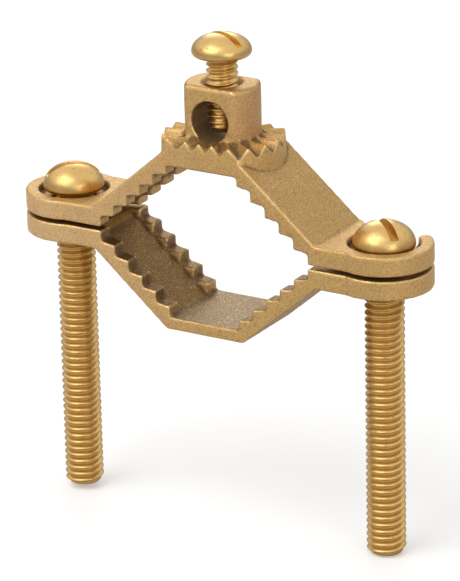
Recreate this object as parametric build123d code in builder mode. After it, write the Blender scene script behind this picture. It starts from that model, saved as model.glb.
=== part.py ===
from build123d import *
from math import cos, radians, sin, tan
import os

os.makedirs("parts", exist_ok=True)

# Earth rod clamp in millimetres. The origin is the middle of the gripping opening, on the
# parting plane of the two jaws. X runs through both clamp screws, Y along the gripped rod.

# Jaw castings
screw_spacing = 71.0  # between the clamp screw axes
jaw_width = 18.2  # along the gripped rod
ear_swell = 0.6  # how far each round ear stands out beyond the jaw's front and back
ear_thickness = 4.0
ear_gap = 0.7  # between upper and lower ears as assembled
opening_half_width = 23.5  # centre to the inner corner of the ears
arm_angle = 40.5  # slope of each arm from the parting plane, degrees
arm_wall = 2.5  # behind the tooth roots, square to the arm
plate_wall = 2.6  # flat that joins the two arms
cast_round = 0.2  # corners of the side profile

# Gripping teeth, a saw-cut rail along each edge of each arm
tooth_pitch = 4.1  # along the arm
tooth_count = 6  # the ear's inner corner is the first
tooth_riser = 2.2
rail_width = 3.6

# Clamp screws, 5/16-18 slotted round head
clamp_shank_diameter = 7.9
clamp_screw_length = 63.5
clamp_head_diameter = 12.3
clamp_head_height = 4.9
clamp_slot_depth = 2.2
left_head_lift = 1.2  # head above its pocket floor
right_head_lift = 0.4
left_slot_angle = 40.0  # from +X, degrees
right_slot_angle = -39.0

# Wire screw, 1/4-20 slotted round head
wire_shank_diameter = 6.3
wire_screw_length = 12.7
wire_head_diameter = 12.3
wire_head_height = 4.3
wire_slot_depth = 1.9
wire_slot_angle = -17.0
wire_head_lift = 4.0  # head above the post

# Features common to the screws
head_rim = 0.8  # height of the widest ring above the bearing face, and its bevel
slot_width = 1.7
tip_chamfer = 0.8

# Screw fits
thread_clearance = 0.05  # radial, plain shank in its tapped hole
shank_clearance = 0.4  # radial, clamp shank in the upper ears
pocket_clearance = 0.9  # radial, clamp head in its pocket
pocket_depth = 1.6
hook_tip_round = 1.3  # free end of the hooked ear
mouth_neck = 3.4  # where the hook's mouth starts to flare, behind the screw axis
mouth_round = 3.0

# Serrated crown and wire post, cast with the upper jaw
crown_radius = 12.2
crown_height = 2.8  # tooth crests above the plate
crown_tooth_depth = 2.1  # at the rim
crown_tooth_count = 19
crown_first_tooth = -92.3  # from +X, degrees
groove_start = 0.3  # where each groove's loft starts and ends, of the crown radius
groove_end = 1.2
post_radius = 7.5
post_depth = 10.6  # across the two flats
post_height = 13.0  # above the plate
post_bevel = 0.5
wire_hole_radius = 4.1
wire_hole_height = 4.1  # centre above the tooth crests
wire_countersink = 1.0

# Levels and stations of the side profile
screw_x = screw_spacing / 2
ear_radius = jaw_width / 2 + ear_swell
tooth_run = tooth_pitch * cos(radians(arm_angle))
tooth_climb = tooth_pitch * sin(radians(arm_angle))
ear_floor = ear_gap / 2
ear_top = ear_floor + ear_thickness
plate_inner = ear_floor + (tooth_count - 1) * tooth_climb + tooth_riser
plate_outer = plate_inner + plate_wall
arm_rise = tan(radians(arm_angle))
arm_back = ear_floor + tooth_riser + arm_wall / cos(radians(arm_angle))
ear_fold = opening_half_width + (arm_back - ear_top) / arm_rise
plate_fold = opening_half_width + (arm_back - plate_outer) / arm_rise
ear_end = screw_x + ear_radius
crest_level = plate_outer + crown_height
crown_base = plate_outer - arm_rise * (crown_radius - plate_fold)
post_top = plate_outer + post_height
wire_hole_level = crest_level + wire_hole_height
pocket_floor = ear_top - pocket_depth
pocket_radius = clamp_head_diameter / 2 + pocket_clearance
ear_hole_radius = clamp_shank_diameter / 2 + shank_clearance


def side_profile(teeth):
    """Closed outline of one jaw in XZ, with sawteeth or a plain slope inside each arm."""
    steps = [(opening_half_width, ear_floor), (opening_half_width, ear_floor + tooth_riser)]
    for i in range(1, tooth_count):
        x = opening_half_width - i * tooth_run
        z = ear_floor + i * tooth_climb
        if teeth:
            steps.append((x, z))
        if teeth or i == tooth_count - 1:
            steps.append((x, z + tooth_riser))
    outer = [(plate_fold, plate_outer), (ear_fold, ear_top), (ear_end, ear_top), (ear_end, ear_floor)]
    right = outer + steps
    left = [(-x, z) for x, z in reversed(right)]
    return FilletPolyline(*right, *left, radius=cast_round, close=True)


def jaw_blank():
    """One jaw casting with its toothed rails, lying above the parting plane."""
    with BuildPart() as jaw:
        with BuildSketch(Plane.XZ):
            with BuildLine():
                side_profile(teeth=False)
            make_face()
        extrude(amount=jaw_width, both=True)
        for side in (1, -1):
            with BuildSketch(Plane.XZ.offset(side * jaw_width / 2)):
                with BuildLine():
                    side_profile(teeth=True)
                make_face()
            extrude(amount=-side * rail_width)
        with BuildSketch():
            Rectangle(screw_spacing, jaw_width)
            with Locations((screw_x, 0), (-screw_x, 0)):
                Circle(ear_radius)
        extrude(amount=plate_outer, mode=Mode.INTERSECT)
    return jaw.part


def round_head_screw(shank_diameter, length, head_diameter, head_height, slot_depth, slot_angle):
    """Slotted round-head screw with its bearing face on the origin and its shank down."""
    with BuildPart() as screw:
        with BuildSketch(Plane.XZ):
            with BuildLine():
                rim = head_diameter / 2
                Polyline((0, head_height), (0, 0), (rim - head_rim, 0), (rim, head_rim))
                TangentArc((0, head_height), (rim, head_rim), tangent=(1, 0))
            make_face()
        revolve(axis=Axis.Z)
        with BuildSketch(Plane.XY.offset(head_height)):
            Rectangle(2 * head_diameter, slot_width, rotation=slot_angle)
        extrude(amount=-slot_depth, mode=Mode.SUBTRACT)
        with BuildSketch():
            Circle(shank_diameter / 2)
        extrude(amount=-length)
        chamfer(screw.edges().sort_by(Axis.Z)[0], tip_chamfer)
    return screw.part


blank = jaw_blank()
clamp_sizes = (clamp_shank_diameter, clamp_screw_length, clamp_head_diameter, clamp_head_height)
wire_sizes = (wire_shank_diameter, wire_screw_length, wire_head_diameter, wire_head_height)
left_screw = round_head_screw(*clamp_sizes, clamp_slot_depth, left_slot_angle)
right_screw = round_head_screw(*clamp_sizes, clamp_slot_depth, right_slot_angle)
terminal_screw = round_head_screw(*wire_sizes, wire_slot_depth, wire_slot_angle)

# Lower jaw: tapped ears take both clamp screws
with BuildPart() as lower_jaw:
    add(mirror(blank, about=Plane.XY))
    with Locations((screw_x, 0, -ear_floor), (-screw_x, 0, -ear_floor)):
        Hole(clamp_shank_diameter / 2 + thread_clearance, depth=ear_thickness)
lower_jaw.part.label = "lower_jaw"
export_step(lower_jaw.part, "parts/lower_jaw.step")

# Upper jaw: closed left ear, hooked right ear, serrated crown and wire post in one casting
with BuildPart() as upper_jaw:
    add(blank)

    # Crown disc, as deep as the plate, flush with the jaw's front and back
    with BuildSketch(Plane.XY.offset(crown_base)):
        Circle(crown_radius)
        Rectangle(2 * crown_radius, jaw_width, mode=Mode.INTERSECT)
    extrude(amount=crest_level - crown_base)

    # V grooves between the crown teeth, growing towards the rim
    for i in range(crown_tooth_count):
        heading = radians(crown_first_tooth + (i + 0.5) * 360 / crown_tooth_count)
        outward = (cos(heading), sin(heading), 0)
        sideways = (-sin(heading), cos(heading), 0)
        spoke = Plane(origin=(0, 0, crest_level), x_dir=sideways, z_dir=outward)
        for reach in (groove_start, groove_end):
            radius = reach * crown_radius
            half = radius * tan(radians(180 / crown_tooth_count))
            with BuildSketch(spoke.offset(radius)):
                Polygon((-half, 0), (half, 0), (0, -reach * crown_tooth_depth), align=None)
        loft(mode=Mode.SUBTRACT)

    # Wire post, a cylinder with two flats
    with BuildSketch(Plane.XY.offset(plate_outer)):
        Circle(post_radius)
        Rectangle(2 * post_radius, post_depth, mode=Mode.INTERSECT)
    post = extrude(amount=post_height)
    chamfer(post.faces().sort_by(Axis.Z)[-1].edges(), post_bevel)

    # Wire hole through the flats and the countersunk, tapped hole down to it
    with BuildSketch(Plane.XZ):
        with Locations((0, wire_hole_level)):
            Circle(wire_hole_radius)
    extrude(amount=post_depth / 2, both=True, mode=Mode.SUBTRACT)
    tapped_radius = wire_shank_diameter / 2 + thread_clearance
    with Locations((0, 0, post_top)):
        CounterSinkHole(tapped_radius, tapped_radius + wire_countersink, post_top - wire_hole_level)

    # Head pockets and the shank's way through each ear
    with Locations((screw_x, 0, ear_top), (-screw_x, 0, ear_top)):
        CounterBoreHole(ear_hole_radius, pocket_radius, pocket_depth, depth=ear_thickness)

    # The right ear is open to the back, so that the jaw can swing off its screw
    with BuildSketch(Plane(origin=(screw_x, 0, ear_floor))) as mouth:
        with Locations((0, ear_radius / 2)):
            Rectangle(2 * ear_hole_radius, ear_radius)
        flare_end = (ear_fold - screw_x, ear_radius)
        Polygon((-ear_hole_radius, mouth_neck), (-ear_hole_radius, ear_radius), flare_end, align=None)
        fillet(mouth.vertices().sort_by_distance((-ear_hole_radius, mouth_neck))[0], mouth_round)
    extrude(amount=ear_thickness, mode=Mode.SUBTRACT)
    hook_edges = upper_jaw.edges().filter_by(Axis.Z).filter_by_position(Axis.X, screw_x, ear_end)
    fillet(hook_edges.sort_by(Axis.Y)[-1], hook_tip_round)
upper_jaw.part.label = "upper_jaw"
export_step(upper_jaw.part, "parts/upper_jaw.step")

# Clamp screws, their heads just clear of the pocket floors
with BuildPart() as clamp_screw_left:
    with Locations((-screw_x, 0, pocket_floor + left_head_lift)):
        add(left_screw)
clamp_screw_left.part.label = "clamp_screw_left"
export_step(clamp_screw_left.part, "parts/clamp_screw_left.step")

with BuildPart() as clamp_screw_right:
    with Locations((screw_x, 0, pocket_floor + right_head_lift)):
        add(right_screw)
clamp_screw_right.part.label = "clamp_screw_right"
export_step(clamp_screw_right.part, "parts/clamp_screw_right.step")

# Wire screw in the post, its tip part-way down the wire hole
with BuildPart() as wire_screw:
    with Locations((0, 0, post_top + wire_head_lift)):
        add(terminal_screw)
wire_screw.part.label = "wire_screw"
export_step(wire_screw.part, "parts/wire_screw.step")
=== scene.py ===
from math import ceil, cos, pi, radians, sin, tan

import bmesh
import bpy
import numpy as np
from mathutils import Matrix, Vector, noise


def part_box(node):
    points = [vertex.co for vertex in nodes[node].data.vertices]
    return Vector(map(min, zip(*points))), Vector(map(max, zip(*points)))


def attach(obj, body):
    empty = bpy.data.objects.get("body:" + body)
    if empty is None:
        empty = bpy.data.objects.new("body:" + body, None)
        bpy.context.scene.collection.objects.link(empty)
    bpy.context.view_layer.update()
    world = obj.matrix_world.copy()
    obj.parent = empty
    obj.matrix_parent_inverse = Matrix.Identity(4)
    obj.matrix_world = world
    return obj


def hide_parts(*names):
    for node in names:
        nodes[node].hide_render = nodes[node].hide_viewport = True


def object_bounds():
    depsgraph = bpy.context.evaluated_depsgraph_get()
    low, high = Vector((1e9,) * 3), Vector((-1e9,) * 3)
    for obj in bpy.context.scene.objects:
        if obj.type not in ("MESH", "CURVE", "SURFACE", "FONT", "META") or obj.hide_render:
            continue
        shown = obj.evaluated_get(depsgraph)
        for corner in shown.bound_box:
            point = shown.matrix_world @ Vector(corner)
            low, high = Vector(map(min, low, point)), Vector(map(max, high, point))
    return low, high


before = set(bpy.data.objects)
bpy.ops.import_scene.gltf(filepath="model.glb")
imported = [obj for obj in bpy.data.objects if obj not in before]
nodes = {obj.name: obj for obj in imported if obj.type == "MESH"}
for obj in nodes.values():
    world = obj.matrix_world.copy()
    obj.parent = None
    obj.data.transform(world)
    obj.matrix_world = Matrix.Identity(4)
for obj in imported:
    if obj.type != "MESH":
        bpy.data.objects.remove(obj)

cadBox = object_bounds()
mm = 0.001

# Camera

cameraView = {
    "azimuth": 31.56,     # degrees, standing at +X and -Y
    "elevation": 20.45,
    "roll": -1.33,
    "distance": 0.740,
    "aimRight": 0.00054,  # from the origin to the middle of the view
    "aimUp": -0.01109,
    "lens": 233.5,
}


def addCamera(view):
    azimuth = radians(view["azimuth"])
    elevation = radians(view["elevation"])
    back = Vector((sin(azimuth) * cos(elevation), -cos(azimuth) * cos(elevation), sin(elevation)))
    right = Vector((cos(azimuth), sin(azimuth), 0))
    up = back.cross(right)
    data = bpy.data.cameras.new("camera")
    data.lens = view["lens"]
    data.clip_start = 0.05
    camera = bpy.data.objects.new("camera", data)
    turn = Matrix((right, up, back)).transposed() @ Matrix.Rotation(radians(view["roll"]), 3, "Z")
    place = back * view["distance"] + right * view["aimRight"] + up * view["aimUp"]
    camera.matrix_world = Matrix.Translation(place) @ turn.to_4x4()
    bpy.context.scene.collection.objects.link(camera)
    bpy.context.scene.camera = camera


addCamera(cameraView)
print("camera placed")


# Sockets wrapped so that shader maths reads as expressions

class Sock:
    def __init__(self, maker, socket):
        self.maker = maker
        self.socket = socket

    def math(self, operation, first, second):
        return self.maker.node("ShaderNodeMath", {"operation": operation}, {0: first, 1: second})

    def __add__(self, other):
        return self.math("ADD", self, other)

    def __sub__(self, other):
        return self.math("SUBTRACT", self, other)

    def __mul__(self, other):
        return self.math("MULTIPLY", self, other)

    def __rsub__(self, other):
        return self.math("SUBTRACT", other, self)

    __radd__ = __add__
    __rmul__ = __mul__


class NodeMaker:
    def __init__(self, tree):
        self.tree = tree
        tree.nodes.clear()

    # settings are set first, then the values or links of the sockets
    def node(self, kind, settings=None, inputs=None, output=0):
        made = self.tree.nodes.new(kind)
        for name, value in (settings or {}).items():
            setattr(made, name, value)
        for key, value in (inputs or {}).items():
            if isinstance(value, Sock):
                self.tree.links.new(value.socket, made.inputs[key])
            else:
                made.inputs[key].default_value = value
        return Sock(self, made.outputs[output]) if made.outputs else made

    def place(self):
        return self.node("ShaderNodeTexCoord", output="Object")

    def noise(self, size, detail=3.0, roughness=0.55):
        return self.node("ShaderNodeTexNoise", None, {
            "Vector": self.place(), "Scale": 1 / size, "Detail": detail, "Roughness": roughness})

    def smooth(self, value, low, high):
        return self.node("ShaderNodeMapRange", {"interpolation_type": "SMOOTHSTEP"},
                         {0: value, 1: low, 2: high})

    def tint(self, factor, under, over):
        return self.node("ShaderNodeMix", {"data_type": "RGBA"},
                         {0: factor, 6: under, 7: over}, output=2)

    def attribute(self, name):
        return self.node("ShaderNodeAttribute", {"attribute_name": name}, output="Fac")


def colour(red, green, blue):
    channels = [c / 255 for c in (red, green, blue)]
    return (*[c / 12.92 if c < 0.04045 else ((c + 0.055) / 1.055) ** 2.4 for c in channels], 1)


# Studio: white floor, soft lamps, even surroundings

studio = {
    "floorSize": 6.0,
    "floorGap": 0.0002,
    "roomLevel": 0.55,   # what lights the object from all round
    "floorLift": 0.30,   # brings the floor to white for the camera
    "floorInMetal": (0.68, 0.68, 0.68, 1),
    "horizonInMetal": 0.45,
    "lamps": {
        "key": {"place": (-0.3, -0.6, 0.95), "energy": 5.0, "size": 0.9},
        "fill": {"place": (0.8, -0.5, 0.3), "energy": 1.2, "size": 0.5},
        "back": {"place": (-0.5, 0.8, 0.4), "energy": 1.15, "size": 0.4},
    },
}


def addLamp(name, lampSizes):
    data = bpy.data.lights.new(name, "AREA")
    data.energy = lampSizes["energy"]
    data.size = lampSizes["size"]
    lamp = bpy.data.objects.new(name, data)
    place = Vector(lampSizes["place"])
    lamp.matrix_world = Matrix.Translation(place) @ place.to_track_quat("Z", "Y").to_matrix().to_4x4()
    bpy.context.scene.collection.objects.link(lamp)


def buildStudio(sizes):
    for name, lampSizes in sizes["lamps"].items():
        addLamp(name, lampSizes)

    world = bpy.data.worlds.new("room")
    world.use_nodes = True
    bpy.context.scene.world = world
    maker = NodeMaker(world.node_tree)
    seen = maker.node("ShaderNodeLightPath", output="Is Camera Ray")
    mirrored = maker.node("ShaderNodeLightPath", output="Is Glossy Ray")
    passed = maker.node("ShaderNodeLightPath", output="Is Transmission Ray")
    shown = maker.node("ShaderNodeMath", {"operation": "MAXIMUM"}, {0: seen, 1: passed})
    height = maker.node("ShaderNodeSeparateXYZ", None, {0: maker.place()}, output=2)
    above = maker.smooth(height, 0, 0.6) * (1 - sizes["horizonInMetal"]) + sizes["horizonInMetal"]
    room = sizes["roomLevel"]
    level = shown * (1 - room) + room + mirrored * (above - room)
    glow = maker.node("ShaderNodeBackground", None, {"Color": (1, 1, 1, 1), "Strength": level})
    maker.node("ShaderNodeOutputWorld", None, {"Surface": glow})

    bm = bmesh.new()
    bmesh.ops.create_grid(bm, x_segments=1, y_segments=1, size=sizes["floorSize"] / 2)
    bmesh.ops.translate(bm, verts=bm.verts, vec=(0, 0, cadBox[0][2] - sizes["floorGap"]))
    mesh = bpy.data.meshes.new("floor")
    bm.to_mesh(mesh)
    bm.free()
    floor = bpy.data.objects.new("floor", mesh)
    bpy.context.scene.collection.objects.link(floor)
    material = bpy.data.materials.new("floorWhite")
    material.use_nodes = True
    maker = NodeMaker(material.node_tree)
    seen = maker.node("ShaderNodeLightPath", output="Is Camera Ray")
    mirrored = maker.node("ShaderNodeLightPath", output="Is Glossy Ray")
    paint = maker.tint(mirrored, (0.9, 0.9, 0.9, 1), sizes["floorInMetal"])
    matt = maker.node("ShaderNodeBsdfDiffuse", None, {"Color": paint})
    lift = maker.node("ShaderNodeEmission", None, {"Strength": seen * sizes["floorLift"]})
    both = maker.node("ShaderNodeAddShader", None, {0: matt, 1: lift})
    maker.node("ShaderNodeOutputMaterial", None, {"Surface": both})
    mesh.materials.append(material)


buildStudio(studio)
bpy.context.scene.view_settings.view_transform = "Standard"
print("studio lit")


# Cast bronze of the two jaws

castFinish = {
    "olive": colour(190, 154, 96),
    "sand": colour(230, 188, 122),
    # painted key light on the left flanks
    "paintedKeyLight": colour(252, 210, 154),
    "pink": colour(218, 166, 122),
    # painted shade in hollows
    "recessShadeBrown": colour(84, 58, 34),
    "patina": colour(112, 84, 50),
    "pale": colour(128, 108, 82),
    "bright": colour(240, 210, 152),
    "grainSize": 0.00032,
    "blotchSize": 0.004,
    "roughness": 0.42,
}


def castBronze(finish):
    material = bpy.data.materials.new("castBronze")
    material.use_nodes = True
    m = NodeMaker(material.node_tree)
    grain = m.noise(finish["grainSize"], detail=4, roughness=0.65)
    pits = m.noise(finish["grainSize"] * 2.6, detail=2)
    blotch = m.noise(finish["blotchSize"], detail=5, roughness=0.6)
    broad = m.noise(finish["blotchSize"] * 3.5, detail=2)
    edge = m.attribute("edgeWearAndSheen")
    recessShade = m.attribute("recessShade")
    shadeBetweenArms = m.attribute("shadeBetweenArms")
    flank = m.attribute("flank")
    turned = m.attribute("turned")
    plate = m.attribute("plate")
    keyLitLeft = m.attribute("keyLitLeft")

    # sandy, grainy flanks and smoother olive faces
    skin = m.tint(m.smooth(flank + blotch * 0.5 - 0.25, 0.25, 0.8), finish["olive"], finish["sand"])
    # painted light: the left flanks lightened as if lit by the key lamp
    skin = m.tint(keyLitLeft * flank, skin, finish["paintedKeyLight"])
    skin = m.tint(m.smooth(blotch, 0.5, 0.72) * 0.35, skin, finish["pink"])
    skin = m.tint(m.smooth(broad, 0.5, 0.75) * 0.25, skin, finish["olive"])
    skin = m.tint(turned * (0.3 + blotch * 0.6), skin, finish["pink"])
    skin = m.tint(plate * 0.9, skin, finish["pale"])
    skin = m.tint(m.smooth(grain, 0.46, 0.74) * 0.5, skin, finish["patina"])
    skin = m.tint(m.smooth(grain, 0.49, 0.34) * 0.45, skin, finish["bright"])
    # patina and painted shade between the arms, heaviest on the lower jaw under the upper jaw
    skin = m.tint(shadeBetweenArms * (0.62 + blotch * 0.35), skin, finish["patina"])
    skin = m.tint(m.smooth(grain, 0.45, 0.34) * shadeBetweenArms * 0.4, skin, finish["bright"])
    # painted shade: corners, crown grooves and the bore darkened; the same mask makes them rougher
    # and less metallic as dirt
    recessShadeAndDirt = m.smooth(recessShade + grain * 0.35 - 0.17, 0.25, 0.95)
    skin = m.tint(recessShadeAndDirt * 0.75, skin, finish["recessShadeBrown"])
    # worn edges lightened: partly the metal's wear, partly a painted sheen
    wearAndPaintedSheen = m.smooth(edge + blotch * 0.4 - 0.2, 0.3, 0.85)
    skin = m.tint(wearAndPaintedSheen * 0.85, skin, finish["bright"])

    rough = finish["roughness"] + grain * 0.12 + recessShadeAndDirt * 0.15 - wearAndPaintedSheen * 0.14
    height = grain * (0.6 + flank * 0.5) + pits * 0.8
    bump = m.node("ShaderNodeBump", None, {"Strength": 0.8, "Distance": 0.00012, "Height": height})
    metal = m.node("ShaderNodeBsdfPrincipled", None, {
        "Base Color": skin, "Metallic": 1.0 - recessShadeAndDirt * 0.5, "Roughness": rough, "Normal": bump})
    m.node("ShaderNodeOutputMaterial", None, {"Surface": metal})
    return material


# Machined brass of the screws

brassFinish = {
    "bright": colour(224, 186, 120),
    "deep": colour(210, 172, 106),
    # painted light for the thread roots
    "root": colour(222, 182, 112),
    "tarnish": colour(128, 96, 48),
    "slot": colour(206, 122, 48),
    "paleSlot": colour(226, 180, 104),
    "roughness": 0.24,
    "cloudSize": 0.0022,
    "speckSize": 0.0007,
    "scratchSize": 0.0002,
}


def screwBrass(finish, name, slot=None):
    material = bpy.data.materials.new(name)
    material.use_nodes = True
    m = NodeMaker(material.node_tree)
    cloud = m.noise(finish["cloudSize"], detail=5, roughness=0.6)
    speck = m.noise(finish["speckSize"], detail=3)
    fine = m.noise(finish["scratchSize"], detail=2)
    crest = m.attribute("crest")
    skin = m.tint(m.smooth(cloud, 0.35, 0.7), finish["bright"], finish["deep"])
    skin = m.tint(m.smooth(speck, 0.62, 0.72) * 0.6, skin, finish["tarnish"])
    # painted light: thread roots tinted light to offset the shade between the turns
    skin = m.tint(m.smooth(crest, 0.75, 0.15) * 0.8, skin, finish["root"])
    if slot:
        skin = m.tint(0.75 + cloud * 0.2, skin, finish[slot])
    rough = finish["roughness"] + cloud * 0.16 + m.smooth(speck, 0.6, 0.7) * 0.15
    bump = m.node("ShaderNodeBump", None, {
        "Strength": 0.2, "Distance": 0.00003, "Height": fine * 0.6 + speck})
    metal = m.node("ShaderNodeBsdfPrincipled", None, {
        "Base Color": skin, "Metallic": 1.0, "Roughness": rough, "Normal": bump})
    m.node("ShaderNodeOutputMaterial", None, {"Surface": metal})
    return material


bronze = castBronze(castFinish)
brass = screwBrass(brassFinish, "screwBrass")
slotBrass = screwBrass(brassFinish, "slotBrass", slot="slot")
paleSlotBrass = screwBrass(brassFinish, "paleSlotBrass", slot="paleSlot")
print("materials made")


# Finishing helpers; pieces are shaped in millimetres and brought to metres at the end

def evaluated(mesh, name, *modifiers):
    piece = bpy.data.objects.new(name, mesh)
    bpy.context.scene.collection.objects.link(piece)
    for kind, settings in modifiers:
        modifier = piece.modifiers.new(kind.lower(), kind)
        for key, value in settings.items():
            setattr(modifier, key, value)
    bpy.context.view_layer.update()
    graph = bpy.context.evaluated_depsgraph_get()
    result = bpy.data.meshes.new_from_object(piece.evaluated_get(graph))
    bpy.data.objects.remove(piece)
    return result


def addRod(bm, radius, low, high, turn):
    made = bmesh.ops.create_cone(bm, cap_ends=True, segments=96, radius1=radius, radius2=radius,
                                 depth=(high - low).length)
    place = Matrix.Translation((low + high) / 2) @ turn
    bmesh.ops.transform(bm, verts=made["verts"], matrix=place)


def addPrism(bm, corners, halfDepth):
    near = [bm.verts.new((x, -halfDepth, z)) for x, z in corners]
    far = [bm.verts.new((x, halfDepth, z)) for x, z in corners]
    bm.faces.new(near)
    bm.faces.new(far[::-1])
    for i in range(len(corners)):
        j = (i + 1) % len(corners)
        bm.faces.new((near[i], far[i], far[j], near[j]))


def cutterFrom(bm, name):
    bmesh.ops.recalc_face_normals(bm, faces=bm.faces)
    mesh = bpy.data.meshes.new(name)
    bm.to_mesh(mesh)
    bm.free()
    cutter = bpy.data.objects.new(name, mesh)
    bpy.context.scene.collection.objects.link(cutter)
    return cutter


def addPiece(mesh, name, body, node, slotName, *materials):
    mesh.transform(Matrix.Scale(mm, 4))
    mesh.name = name
    mesh.materials.clear()
    for material in materials:
        mesh.materials.append(material)
    mesh.shade_smooth()
    piece = bpy.data.objects.new(name, mesh)
    bpy.context.scene.collection.objects.link(piece)
    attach(piece, body)
    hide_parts(node)
    return piece


def setAttribute(mesh, name, values):
    layer = mesh.attributes.new(name, "FLOAT", "POINT")
    layer.data.foreach_set("value", np.clip(values, 0, 1).astype(np.float32))


def spread(values, pairs, rounds):
    count = np.zeros(len(values))
    np.add.at(count, pairs.ravel(), 1)
    for _ in range(rounds):
        total = np.zeros(len(values))
        np.add.at(total, pairs[:, 0], values[pairs[:, 1]])
        np.add.at(total, pairs[:, 1], values[pairs[:, 0]])
        values = 0.4 * values + 0.6 * total / np.maximum(count, 1)
    return values


# Jaw castings: the CAD solid, remeshed so that its corners round over as cast

casting = {
    "weld": 0.002,
    "voxel": 0.27,
    "smoothRounds": 5,
    "unevenness": 0.05,   # mm, inward only
    "unevenSize": 2.2,
    "innerCorner": 23.5,  # half width of the opening at the parting plane
    "armSlope": 40.5,
    "rootDepth": 2.55,    # tooth roots above the parting plane at the inner corner
    "channelHalf": 5.5,   # between the two toothed rails
    "channelStart": 0.1,  # how far inside the inner corner the channel's cut starts
    "channelBelow": 0.2,  # and how far past the parting plane it ends
    "leftEar": 38.0,
}
wirePost = {
    "halfDepth": 5.3,
    "top": 31.46,
    "holeRadius": 4.1,
    "solidHole": 25.36,   # the hole's centre in the solid
    "hole": 24.46,        # and where it is drilled
    "thread": 3.2,
    "plugMargin": 0.4,
    "plugInset": 0.02,
    "drillPast": 0.4,
    "tapPast": 0.2,
}
shadeAndSoiling = {
    "upperShade": 0.25,   # the upper jaw's arms get less patina and painted shade than the lower jaw's, which lie under the upper jaw
    "armStart": 8.2,      # where the arms leave the flat plate
    "armReach": 24.5,
    "plateReach": 9.0,
    "plateInside": 16.3,
    "postReach": 8.0,
    "crownRadius": 12.1,
    "crownFoot": 18.6,
    "crests": 21.1,
    "grooveDepth": 1.7,
}


def channelCutter(side, sizes):
    slope = tan(radians(sizes["armSlope"]))
    below = sizes["channelBelow"]
    inner = sizes["innerCorner"] - sizes["channelStart"]
    foot = sizes["innerCorner"] + (sizes["rootDepth"] + below) / slope
    top = sizes["rootDepth"] + sizes["channelStart"] * slope
    bm = bmesh.new()
    for hand in (1, -1):
        corners = ((inner * hand, -below * side), (foot * hand, -below * side),
                   (inner * hand, top * side))
        addPrism(bm, corners, sizes["channelHalf"])
    return cutterFrom(bm, "channelCutter")


def plugWireHole(mesh, sizes):
    along = Vector((0, sizes["halfDepth"] - sizes["plugInset"], 0))
    middle = Vector((0, 0, sizes["solidHole"]))
    bm = bmesh.new()
    bm.from_mesh(mesh)
    addRod(bm, sizes["holeRadius"] + sizes["plugMargin"], middle - along, middle + along,
           Matrix.Rotation(pi / 2, 4, "X"))
    bm.to_mesh(mesh)
    bm.free()


def wireHoleCutters(sizes):
    along = Vector((0, sizes["halfDepth"] + sizes["drillPast"], 0))
    middle = Vector((0, 0, sizes["hole"]))
    cross = bmesh.new()
    addRod(cross, sizes["holeRadius"], middle - along, middle + along,
           Matrix.Rotation(pi / 2, 4, "X"))
    down = bmesh.new()
    top = Vector((0, 0, sizes["top"] + sizes["tapPast"]))
    addRod(down, sizes["thread"], middle, top, Matrix.Identity(4))
    return [cutterFrom(cross, "holeCutter"), cutterFrom(down, "threadCutter")]


def castMesh(node, name, sizes, side):
    mesh = nodes[node].data.copy()
    mesh.transform(Matrix.Scale(1 / mm, 4))
    bm = bmesh.new()
    bm.from_mesh(mesh)
    bmesh.ops.remove_doubles(bm, verts=bm.verts, dist=sizes["weld"])
    bm.to_mesh(mesh)
    bm.free()
    cutters = [channelCutter(side, sizes)]
    if node == "upper_jaw":
        plugWireHole(mesh, wirePost)
        cutters += wireHoleCutters(wirePost)
    remesh = ("REMESH", {"mode": "VOXEL", "voxel_size": sizes["voxel"], "adaptivity": 0.0})
    cuts = [("BOOLEAN", {"operation": "DIFFERENCE", "object": cutter, "solver": "EXACT"})
            for cutter in cutters]
    mesh = evaluated(mesh, name, remesh, *cuts, remesh,
                     ("SMOOTH", {"factor": 0.5, "iterations": sizes["smoothRounds"]}))
    for cutter in cutters:
        bpy.data.objects.remove(cutter)

    # shallow waves of the mould, pressed inwards
    bm = bmesh.new()
    bm.from_mesh(mesh)
    bm.normal_update()
    for v in bm.verts:
        wave = 0.5 + 0.5 * noise.fractal(v.co / sizes["unevenSize"], 0.8, 2.0, 3)
        v.co -= v.normal * sizes["unevenness"] * min(max(wave, 0), 1)
    bm.normal_update()
    bm.to_mesh(mesh)
    bm.free()
    return mesh
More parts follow.
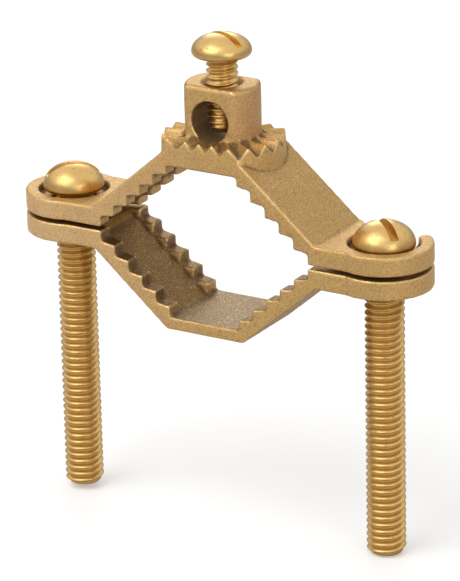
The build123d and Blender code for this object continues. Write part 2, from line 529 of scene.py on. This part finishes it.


# How worn and sheen-painted, how deep in painted shade and patina, and how upright each point of a
# casting is
def markCasting(mesh, sizes, shadeAndSoil, side):
    count = len(mesh.vertices)
    co = np.zeros(count * 3)
    mesh.vertices.foreach_get("co", co)
    co = co.reshape(-1, 3)
    normal = np.zeros(count * 3)
    mesh.vertex_normals.foreach_get("vector", normal)
    normal = normal.reshape(-1, 3)
    pairs = np.zeros(len(mesh.edges) * 2, int)
    mesh.edges.foreach_get("vertices", pairs)
    pairs = pairs.reshape(-1, 2)
    away = np.abs(co)
    facing = np.abs(normal)

    # bend of the surface: below zero on edges, above zero in corners
    step = co[pairs[:, 1]] - co[pairs[:, 0]]
    bend = np.zeros(count)
    np.add.at(bend, pairs[:, 0], (step * normal[pairs[:, 0]]).sum(1))
    np.add.at(bend, pairs[:, 1], -(step * normal[pairs[:, 1]]).sum(1))
    bend /= sizes["voxel"]
    # edges: wear with a painted sheen
    setAttribute(mesh, "edgeWearAndSheen", spread(-bend, pairs, 2) * 1.6)

    # painted shade in corners, between the crown's teeth and in the wire hole
    crownDepth = (shadeAndSoil["crests"] - co[:, 2]) / shadeAndSoil["grooveDepth"]
    onCrown = np.hypot(co[:, 0], co[:, 1]) < shadeAndSoil["crownRadius"]
    onCrown &= (co[:, 2] > shadeAndSoil["crownFoot"]) & (normal[:, 2] > 0.15)
    grooved = np.where(onCrown, np.clip(crownDepth, 0, 1), 0)
    bore = np.hypot(co[:, 0], co[:, 2] - wirePost["hole"]) < wirePost["holeRadius"] + 0.1
    bore &= away[:, 1] < wirePost["halfDepth"] - 0.2
    recessShade = spread(np.maximum(bend, 0), pairs, 14) * 5.0
    recessShade = np.maximum(recessShade, spread(grooved, pairs, 3) * 0.9)
    setAttribute(mesh, "recessShade", np.maximum(recessShade, spread(bore * 0.85, pairs, 2)))

    # sides of the casting, the post's round sides, and the left side, where painted key light goes
    setAttribute(mesh, "flank", (0.6 - facing[:, 2]) / 0.4)
    setAttribute(mesh, "keyLitLeft", -co[:, 0] / sizes["leftEar"])
    upright = 1 - facing[:, 2] * 2
    setAttribute(mesh, "turned", np.where(away[:, 0] < shadeAndSoil["postReach"], facing[:, 0] * upright, 0))

    # patina with painted shade between the arms, the most on the lower jaw under the upper jaw, and
    # the paler floor of the flat plate
    slope = tan(radians(sizes["armSlope"]))
    rootLine = sizes["rootDepth"] + slope * (sizes["innerCorner"] - away[:, 0])
    sheltered = (rootLine + 0.5 - away[:, 2] > 0) & (facing[:, 1] < 0.6)
    sheltered &= (away[:, 0] > shadeAndSoil["armStart"]) & (away[:, 0] < shadeAndSoil["armReach"])
    shade = 1 if side < 0 else shadeAndSoil["upperShade"]
    setAttribute(mesh, "shadeBetweenArms", spread(sheltered * shade, pairs, 4))
    flat = (away[:, 0] < shadeAndSoil["plateReach"]) & (away[:, 2] < shadeAndSoil["plateInside"])
    flat &= facing[:, 2] > 0.8
    setAttribute(mesh, "plate", spread(flat.astype(float), pairs, 4))


def jawCasting(node, name, body, sizes, shadeAndSoil, side):
    mesh = castMesh(node, name, sizes, side)
    markCasting(mesh, sizes, shadeAndSoil, side)
    return addPiece(mesh, name, body, node, "cast_bronze", bronze)


jawCasting("upper_jaw", "upperJawCasting", "jaw", casting, shadeAndSoiling, 1)
jawCasting("lower_jaw", "lowerJawCasting", "base", casting, shadeAndSoiling, -1)
print("jaws cast")


# Screws: a turned and slotted dome on a rolled thread

clampScrew = {
    "solidLength": 63.5,
    "length": 63.4,
    "lift": 0.0,          # of the head above its place in the solid
    "headRadius": 6.15,
    "headHeight": 5.4,
    "rimHeight": 0.95,
    "slotWidth": 1.7,
    "slotDepth": 2.4,
    "crest": 3.92,
    "root": 3.14,
    "pitch": 25.4 / 18,
    "chamfer": 0.9,
}
wireScrew = {
    "solidLength": 12.7,
    "length": 15.2,
    "lift": 1.3,
    "headRadius": 5.9,
    "headHeight": 4.4,
    "rimHeight": 0.95,
    "slotWidth": 1.35,
    "slotDepth": 1.9,
    "crest": 3.13,
    "root": 2.42,
    "pitch": 25.4 / 20,
    "chamfer": 1.3,
}
stepsPerTurn = 40
headSteps = 96
slotBevel = 0.12
slotCutHeight = 4.0
headOverlap = 0.4      # how far the shank runs up into the head


def domedHead(sizes, slotAngle):
    radius = sizes["headRadius"]
    rim = sizes["rimHeight"]
    outline = [(0, 0), (radius - rim * 1.1, 0)]
    for i in range(1, 7):
        turn = radians(-90 + i * 15)
        outline.append((radius - rim + rim * cos(turn), rim + rim * sin(turn)))
    for i in range(1, 15):
        turn = radians(i * 90 / 15)
        outline.append((radius * cos(turn), rim + (sizes["headHeight"] - rim) * sin(turn)))
    outline.append((0, sizes["headHeight"]))
    bm = bmesh.new()
    ring = [bm.verts.new((r, 0, z)) for r, z in outline]
    edges = [bm.edges.new(pair) for pair in zip(ring, ring[1:])]
    bmesh.ops.spin(bm, geom=ring + edges, cent=(0, 0, 0), axis=(0, 0, 1), angle=2 * pi,
                   steps=headSteps, use_merge=True)
    bmesh.ops.remove_doubles(bm, verts=bm.verts, dist=0.001)
    bmesh.ops.recalc_face_normals(bm, faces=bm.faces)
    head = bpy.data.meshes.new("head")
    bm.to_mesh(head)
    bm.free()

    bm = bmesh.new()
    bmesh.ops.create_cube(bm, size=1)
    bmesh.ops.scale(bm, verts=bm.verts, vec=(4 * radius, sizes["slotWidth"], slotCutHeight))
    slotFloor = sizes["headHeight"] - sizes["slotDepth"]
    bmesh.ops.translate(bm, verts=bm.verts, vec=(0, 0, slotFloor + slotCutHeight / 2))
    bmesh.ops.rotate(bm, verts=bm.verts, cent=(0, 0, 0),
                     matrix=Matrix.Rotation(radians(slotAngle), 3, "Z"))
    cutter = cutterFrom(bm, "slotCutter")
    head = evaluated(
        head, "head",
        ("BOOLEAN", {"operation": "DIFFERENCE", "object": cutter, "solver": "EXACT"}),
        ("BEVEL", {"width": slotBevel, "segments": 2, "limit_method": "ANGLE",
                   "angle_limit": radians(35)}))
    bpy.data.objects.remove(cutter)
    return head


def threadedShank(sizes):
    length = sizes["length"]
    crest = sizes["crest"]
    root = sizes["root"]
    pitch = sizes["pitch"]
    outline = ((0, root), (0.10, root + 0.02), (0.38, crest - 0.10), (0.46, crest),
               (0.54, crest), (0.62, crest - 0.10), (0.90, root + 0.02), (1, root))
    turns = ceil(length / pitch) + 3
    bm = bmesh.new()
    line = [bm.verts.new((r, 0, -length - pitch * 1.5 + share * pitch)) for share, r in outline]
    edges = [bm.edges.new(pair) for pair in zip(line, line[1:])]
    bmesh.ops.spin(bm, geom=line + edges, cent=(0, 0, 0), axis=(0, 0, 1), angle=2 * pi * turns,
                   dvec=(0, 0, pitch / stepsPerTurn), steps=stepsPerTurn * turns)
    bmesh.ops.remove_doubles(bm, verts=bm.verts, dist=0.002)
    for level, away in ((headOverlap, 1), (-length, -1)):
        cut = bmesh.ops.bisect_plane(bm, geom=bm.verts[:] + bm.edges[:] + bm.faces[:],
                                     plane_co=(0, 0, level), plane_no=(0, 0, away),
                                     clear_outer=True)
        rim = [e for e in cut["geom_cut"] if isinstance(e, bmesh.types.BMEdge)]
        bmesh.ops.edgeloop_fill(bm, edges=rim)
    for v in bm.verts:
        limit = crest - sizes["chamfer"] + (v.co.z + length)
        radius = v.co.xy.length
        if radius > limit:
            v.co.xy *= limit / radius
    bmesh.ops.recalc_face_normals(bm, faces=bm.faces)
    return bm


def makeScrew(node, name, body, sizes, slotAngle, slotMetal):
    low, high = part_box(node)
    axisX = (low[0] + high[0]) / 2 / mm
    axisY = (low[1] + high[1]) / 2 / mm
    seat = low[2] / mm + sizes["solidLength"] + sizes["lift"]
    bm = threadedShank(sizes)
    head = domedHead(sizes, slotAngle)
    bm.from_mesh(head)
    floor = sizes["headHeight"] - sizes["slotDepth"]
    turn = radians(slotAngle)
    for face in bm.faces:
        middle = face.calc_center_median()
        across = abs(middle.y * cos(turn) - middle.x * sin(turn))
        inSlot = middle.z > floor - 0.05 and across < sizes["slotWidth"] / 2 + 0.02
        face.material_index = 1 if inSlot else 0
    mesh = bpy.data.meshes.new(name)
    bmesh.ops.translate(bm, verts=bm.verts, vec=(axisX, axisY, seat))
    bm.to_mesh(mesh)
    bm.free()
    co = np.zeros(len(mesh.vertices) * 3)
    mesh.vertices.foreach_get("co", co)
    co = co.reshape(-1, 3)
    radius = np.hypot(co[:, 0] - axisX, co[:, 1] - axisY)
    height = (radius - sizes["root"]) / (sizes["crest"] - sizes["root"])
    onShank = co[:, 2] < seat - 0.01
    setAttribute(mesh, "crest", np.where(onShank, height, 1))
    piece = addPiece(mesh, name, body, node, "screw_brass", brass, slotMetal)
    mesh.set_sharp_from_angle(angle=radians(50))
    return piece


makeScrew("clamp_screw_left", "clampScrewLeft", "screw_left", clampScrew, 40, slotBrass)
makeScrew("clamp_screw_right", "clampScrewRight", "screw_right", clampScrew, -39, paleSlotBrass)
makeScrew("wire_screw", "wireScrew", "terminal", wireScrew, -17, slotBrass)
print("screws threaded")
